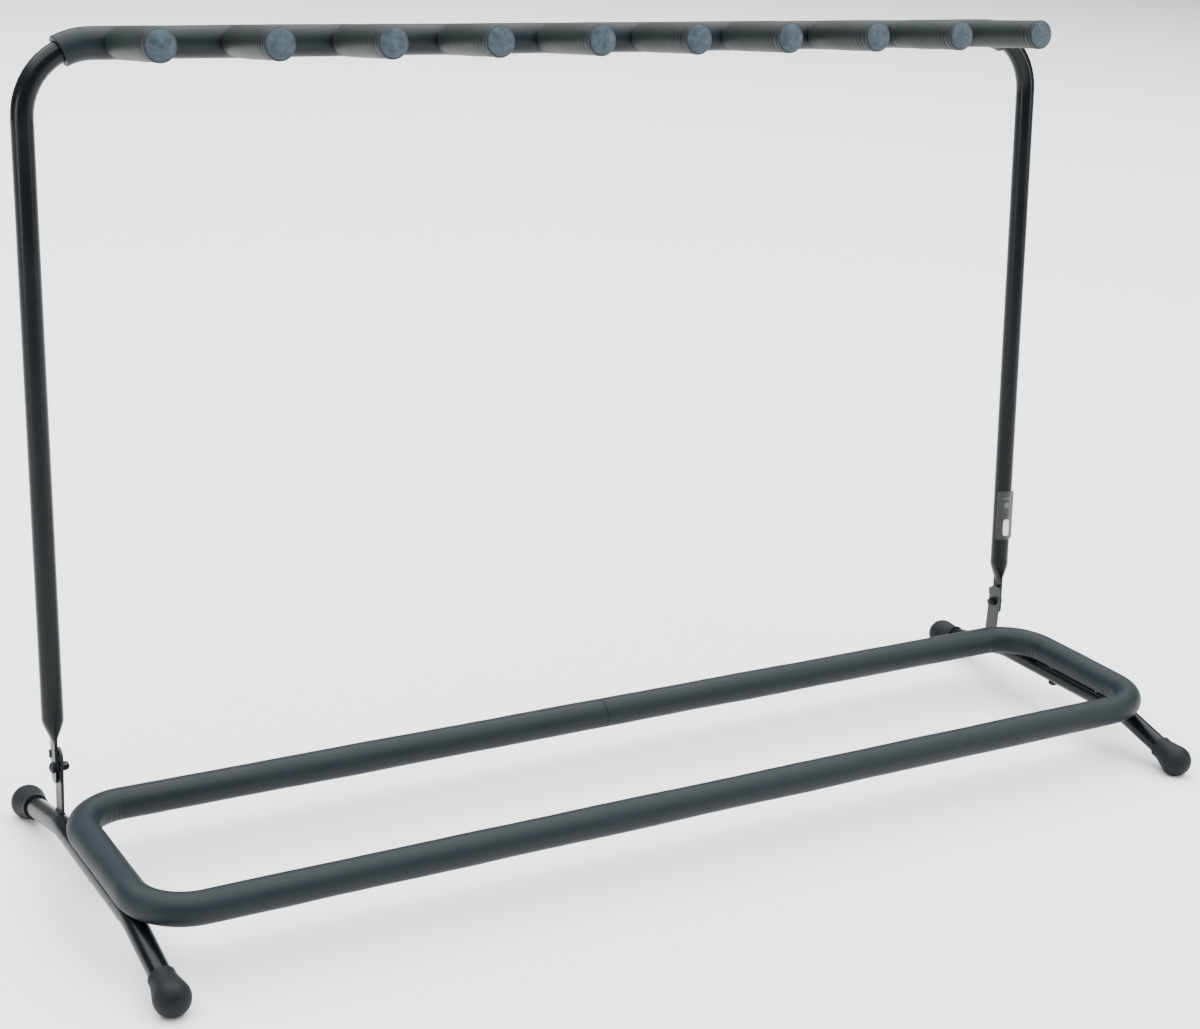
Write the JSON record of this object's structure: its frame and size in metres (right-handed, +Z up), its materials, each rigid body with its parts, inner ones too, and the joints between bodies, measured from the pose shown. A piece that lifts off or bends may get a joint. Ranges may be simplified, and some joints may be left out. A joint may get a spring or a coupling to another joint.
{
  "type": "guitar rack",
  "caption": "Folding floor rack for a row of guitars: a padded base loop on bent legs and a leaning frame of padded pegs that folds forward.",
  "frame": {"origin": "on the floor, midway between the four feet", "axes": "+X along the rack, +Y to the back (the pegs point to -Y), +Z up"},
  "size_m": [1.091, 0.403, 0.7236],
  "materials": {
    "black_tube": "gloss black powder coat",
    "peg_tube": "gloss black powder coat",
    "strap": "satin dark grey paint",
    "foam": "matte closed-cell foam, dark slate",
    "cap": "matte blue-grey rubber",
    "rubber_foot": "matte black rubber",
    "fastener": "black oxide steel",
    "washer": "black oxide steel",
    "plain_steel": "zinc-plated steel",
    "label": "plain dark sticker with pale blank blocks"
  },
  "bodies": {
    "base": {"base_loop_foam": "foam", "base_loop_spigot": "plain_steel", "base_loop_tube": "black_tube", "front_left_foot": "rubber_foot", "front_right_foot": "rubber_foot", "left_hinge_strap": "strap", "left_leg": "black_tube", "left_leg_screws": "fastener", "left_lock_nut": "fastener", "left_pivot_bolt": "fastener", "left_pivot_washers": "washer", "leg_spacers": "plain_steel", "rear_left_foot": "rubber_foot", "rear_right_foot": "rubber_foot", "right_hinge_strap": "strap", "right_leg": "black_tube", "right_leg_screws": "fastener", "right_lock_nut": "fastener", "right_pivot_bolt": "fastener", "right_pivot_washers": "washer", "rivet_nuts": "plain_steel"},
    "upper_frame": {"bar_foam": "foam", "peg_01_cap": "cap", "peg_01_foam": "foam", "peg_01_tube": "peg_tube", "peg_02_cap": "cap", "peg_02_foam": "foam", "peg_02_tube": "peg_tube", "peg_03_cap": "cap", "peg_03_foam": "foam", "peg_03_tube": "peg_tube", "peg_04_cap": "cap", "peg_04_foam": "foam", "peg_04_tube": "peg_tube", "peg_05_cap": "cap", "peg_05_foam": "foam", "peg_05_tube": "peg_tube", "peg_06_cap": "cap", "peg_06_foam": "foam", "peg_06_tube": "peg_tube", "peg_07_cap": "cap", "peg_07_foam": "foam", "peg_07_tube": "peg_tube", "peg_08_cap": "cap", "peg_08_foam": "foam", "peg_08_tube": "peg_tube", "peg_09_cap": "cap", "peg_09_foam": "foam", "peg_09_tube": "peg_tube", "peg_10_cap": "cap", "peg_10_foam": "foam", "peg_10_tube": "peg_tube", "post_label": "label", "upper_frame_tube": "black_tube"}
  },
  "joints": [
    {"name": "frame_fold", "type": "hinge", "parent": "base", "child": "upper_frame", "pos_m": [0, 0.1026, 0.085], "axis": [1, 0, 0], "range_deg": [0, 92]}
  ]
}
